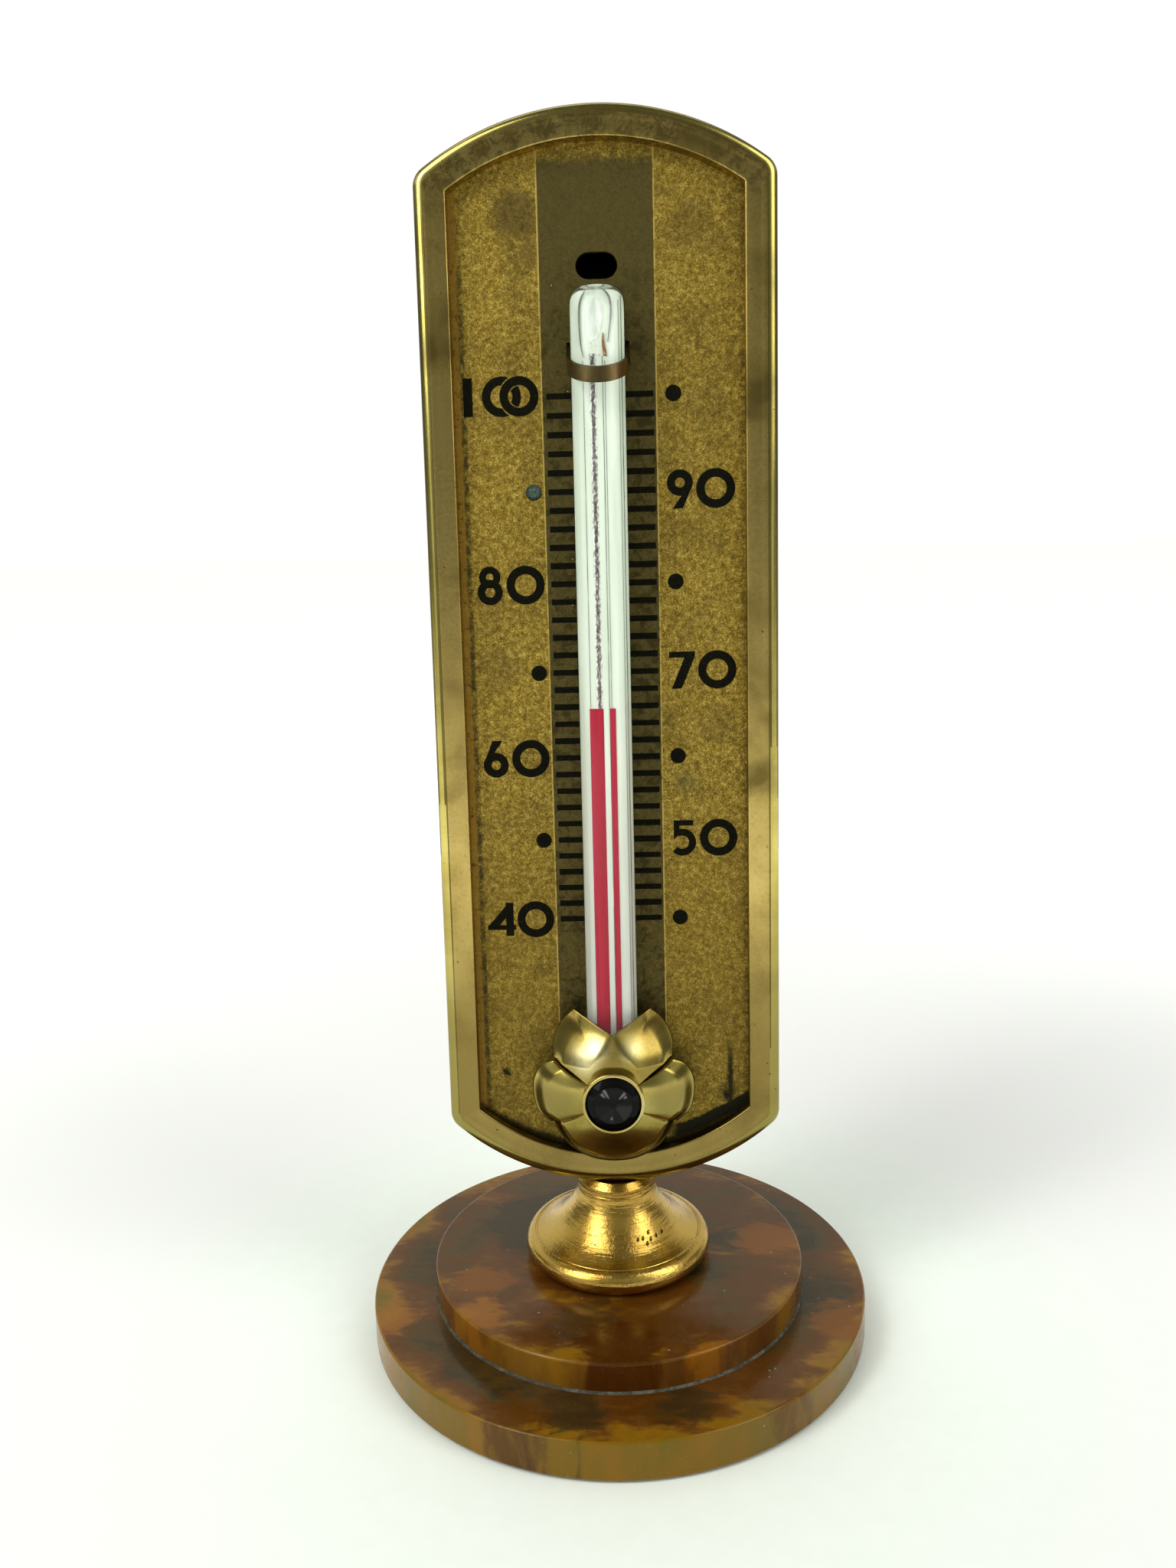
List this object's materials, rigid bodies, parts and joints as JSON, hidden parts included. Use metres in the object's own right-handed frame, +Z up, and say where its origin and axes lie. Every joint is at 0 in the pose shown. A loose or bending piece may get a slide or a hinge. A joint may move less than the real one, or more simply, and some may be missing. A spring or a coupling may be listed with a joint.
{
  "type": "desk thermometer",
  "caption": "Desk thermometer: arched brass frame and dial with a glass spirit tube and a flower over its bulb, on a turned pedestal and a two-step marbled resin base.",
  "frame": {"origin": "middle of the felt's underside, on the surface that the object stands on", "axes": "+Z up, the dial faces -Y, +X to the reader's right"},
  "size_m": [0.0508, 0.0508, 0.1183],
  "materials": {
    "marbled_resin": "polished, marbled amber and olive cast resin",
    "marbled_resin_upper": "polished, marbled dark olive and orange cast resin",
    "cement": "dried cement, dusty",
    "felt": "pressed wool felt",
    "steel": "plain, slightly dull",
    "turned_brass": "turned, bronze-toned, old lacquer",
    "frame_brass": "pressed, aged olive tone",
    "dial_brass": "speckled, tarnished antique gold",
    "back_brass": "pressed, tarnished",
    "tube_glass": "clear with a white enamel back",
    "red_spirit": "dyed liquid",
    "clip_brass": "dark, coppery",
    "flower_brass": "pressed and polished, worn",
    "black_glass": "faceted, opaque black"
  },
  "bodies": {
    "thermometer": {"base_lower_disc": "marbled_resin", "base_upper_disc": "marbled_resin_upper", "cement_bead": "cement", "felt_pad": "felt", "base_washer": "steel", "base_screw": "steel", "pedestal": "turned_brass", "frame_shell": "frame_brass", "dial_plate": "dial_brass", "back_tray": "back_brass", "frame_screw": "steel", "glass_tube": "tube_glass", "spirit_reservoir": "red_spirit", "spirit_column": "red_spirit", "tube_clip": "clip_brass", "flower_cover": "flower_brass", "stone_collar": "flower_brass", "black_stone": "black_glass"},
    "spirit_level": {"spirit_meniscus": "red_spirit"}
  },
  "joints": [
    {"name": "spirit_rise", "type": "slide", "parent": "thermometer", "child": "spirit_level", "axis": [0, 0.0523, 0.9986], "range_m": [-0.02123, 0.02904], "deforming": ["spirit_column"]}
  ]
}
